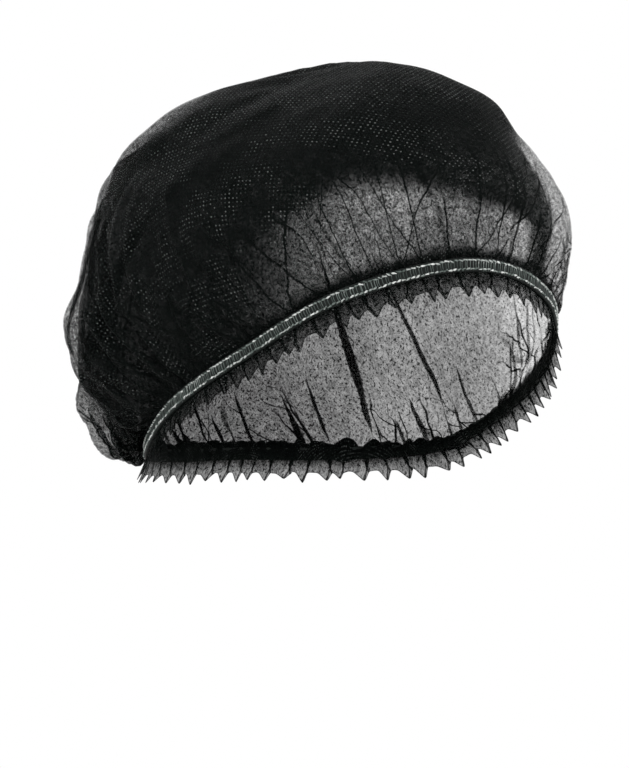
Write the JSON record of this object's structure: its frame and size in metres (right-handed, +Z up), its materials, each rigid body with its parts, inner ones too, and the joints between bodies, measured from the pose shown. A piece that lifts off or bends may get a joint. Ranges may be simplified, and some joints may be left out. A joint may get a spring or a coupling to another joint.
{
  "type": "surgical cap",
  "caption": "Sheer black non-woven surgical cap in its worn shape: a puffed gathered crown, a narrow elastic band sewn round the rim and a short pleated frill below it.",
  "frame": {"origin": "middle of the elastic band's loop, midway between its front and its back, where the cap sits on a head", "axes": "+Z up to the top of the crown, -Y to the front of the cap, +X to the wearer's left"},
  "size_m": [0.1914, 0.215, 0.1595],
  "materials": {
    "cap_cloth": "matt thin non-woven cloth, see-through, with small bond dots",
    "elastic_tape": "matt ribbed elastic tape"
  },
  "bodies": {
    "root": {"crown": "cap_cloth", "elastic_band": "elastic_tape", "frill": "cap_cloth"}
  },
  "joints": []
}
